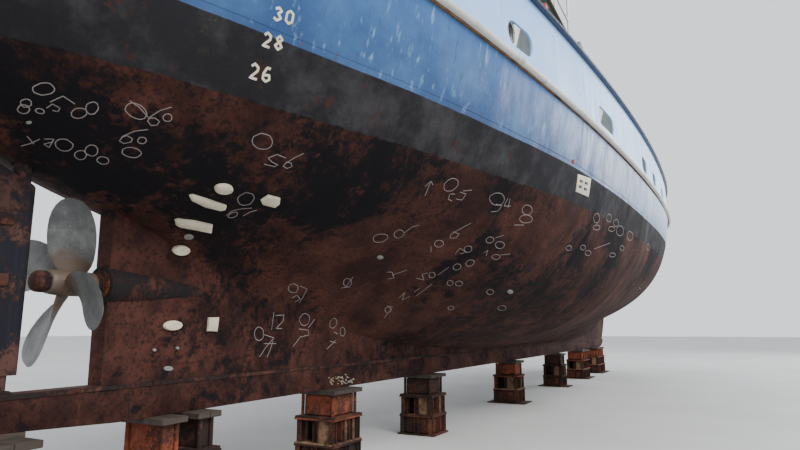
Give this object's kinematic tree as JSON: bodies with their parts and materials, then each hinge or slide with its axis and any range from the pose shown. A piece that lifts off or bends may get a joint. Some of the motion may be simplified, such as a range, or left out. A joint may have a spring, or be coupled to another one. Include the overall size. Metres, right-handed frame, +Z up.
{
  "type": "fishing trawler on keel blocks",
  "caption": "Steel fishing trawler set on dry-dock keel blocks, with turning propeller, rudder, booms, winches, hatch lid and doors.",
  "frame": {"origin": "dock floor under the middle of the whole length, on the centre plane", "axes": "+X to the bow, +Y to port, +Z up"},
  "size_m": [30.9236, 7.1372, 12.81],
  "materials": {
    "hull_paint": "worn red-oxide bottom, black boot-top and blue topsides",
    "strake_white": "satin white",
    "bulwark_paint": "satin pale blue",
    "rail_navy": "satin dark blue",
    "bronze": "dull, scaled",
    "house_white": "satin white",
    "deck_paint": "matt, worn",
    "buff_paint": "satin",
    "funnel_blue": "satin",
    "raft_white": "moulded",
    "dark_steel": "dark, oily",
    "wire_rope": "galvanised",
    "winch_green": "satin, worn",
    "block_steel": "rusted, patchy orange paint"
  },
  "bodies": {
    "ship": {"hull": "hull_paint", "rubbing_strake": "strake_white", "bulwark": "bulwark_paint", "cap_rail": "rail_navy", "stern_tube_boss": "hull_paint", "keel_block_1": "block_steel", "keel_block_2": "block_steel", "keel_block_3": "block_steel", "keel_block_4": "block_steel", "keel_block_5": "block_steel", "keel_block_6": "block_steel", "keel_block_7": "block_steel", "keel_block_8": "block_steel", "keel_block_9": "block_steel", "deckhouse": "house_white", "boat_deck": "deck_paint", "wheelhouse": "house_white", "wheelhouse_roof": "house_white", "boat_deck_rail": "strake_white", "funnel": "funnel_blue", "life_raft_port": "raft_white", "life_raft_starboard": "raft_white", "ventilator_port": "buff_paint", "ventilator_starboard": "buff_paint", "mizzen_mast": "buff_paint", "main_mast": "buff_paint", "boom_rest": "buff_paint", "stem_eye": "dark_steel", "fore_stay": "wire_rope", "triatic_stay": "wire_rope", "radar_post": "house_white", "trawl_winch_frame": "winch_green", "windlass_frame": "winch_green", "hatch_coaming": "bulwark_paint", "gallows_fore": "buff_paint", "gallows_aft": "buff_paint", "bitts_fore_port": "dark_steel", "bitts_fore_starboard": "dark_steel", "bitts_aft_port": "dark_steel", "bitts_aft_starboard": "dark_steel"},
    "propeller": {"propeller": "bronze"},
    "rudder": {"rudder": "hull_paint"},
    "house_door_aft": {"house_door_aft": "buff_paint"},
    "bridge_door_starboard": {"bridge_door_starboard": "buff_paint"},
    "bridge_door_port": {"bridge_door_port": "buff_paint"},
    "derrick_heel": {"derrick_heel": "dark_steel"},
    "derrick_boom": {"derrick_boom": "buff_paint"},
    "mizzen_boom": {"mizzen_boom": "buff_paint"},
    "winch_drum_port": {"winch_drum_port": "dark_steel"},
    "winch_drum_starboard": {"winch_drum_starboard": "dark_steel"},
    "windlass_drum": {"windlass_drum": "dark_steel"},
    "hatch_lid": {"hatch_lid": "winch_green"},
    "radar_scanner": {"radar_scanner": "house_white"}
  },
  "joints": [
    {"name": "propeller_turn", "type": "hinge", "parent": "ship", "child": "propeller", "pos_m": [-12.478, 0, 2.065], "axis": [1, 0, 0], "continuous": true},
    {"name": "rudder_turn", "type": "hinge", "parent": "ship", "child": "rudder", "pos_m": [-12.908, 0, 2.46], "axis": [0, 0, 1], "range_deg": [-35, 35]},
    {"name": "house_door_aft_hinge", "type": "hinge", "parent": "ship", "child": "house_door_aft", "pos_m": [-12.064, 0.378, 5.9918], "axis": [0, 0, -1], "range_deg": [0, 110]},
    {"name": "bridge_door_starboard_hinge", "type": "hinge", "parent": "ship", "child": "bridge_door_starboard", "pos_m": [-7.716, -1.556, 8.06], "axis": [0, 0, -1], "range_deg": [0, 110]},
    {"name": "bridge_door_port_hinge", "type": "hinge", "parent": "ship", "child": "bridge_door_port", "pos_m": [-6.96, 1.556, 8.06], "axis": [0, 0, -1], "range_deg": [0, 110]},
    {"name": "derrick_swing", "type": "hinge", "parent": "ship", "child": "derrick_heel", "pos_m": [-0.348, 0, 7.26], "axis": [0, 0, 1], "range_deg": [-75, 75]},
    {"name": "derrick_luff", "type": "hinge", "parent": "derrick_heel", "child": "derrick_boom", "pos_m": [-0.178, 0, 7.26], "axis": [0, -1, 0], "range_deg": [0, 60]},
    {"name": "mizzen_swing", "type": "hinge", "parent": "ship", "child": "mizzen_boom", "pos_m": [-11.618, 0, 8.66], "axis": [0, 0, 1], "range_deg": [-70, 70]},
    {"name": "winch_drum_port_turn", "type": "hinge", "parent": "ship", "child": "winch_drum_port", "pos_m": [-2.908, 0.6, 5.4535], "axis": [0, 1, 0], "continuous": true},
    {"name": "winch_drum_starboard_turn", "type": "hinge", "parent": "ship", "child": "winch_drum_starboard", "pos_m": [-2.908, -0.6, 5.4535], "axis": [0, 1, 0], "continuous": true},
    {"name": "windlass_turn", "type": "hinge", "parent": "ship", "child": "windlass_drum", "pos_m": [10.692, 0, 5.9713], "axis": [0, 1, 0], "continuous": true},
    {"name": "hatch_lid_hinge", "type": "hinge", "parent": "ship", "child": "hatch_lid", "pos_m": [1.97, 0, 5.4616], "axis": [0, 1, 0], "range_deg": [0, 100]},
    {"name": "radar_turn", "type": "hinge", "parent": "ship", "child": "radar_scanner", "pos_m": [-6.608, 0, 10.61], "axis": [0, 0, 1], "continuous": true}
  ]
}
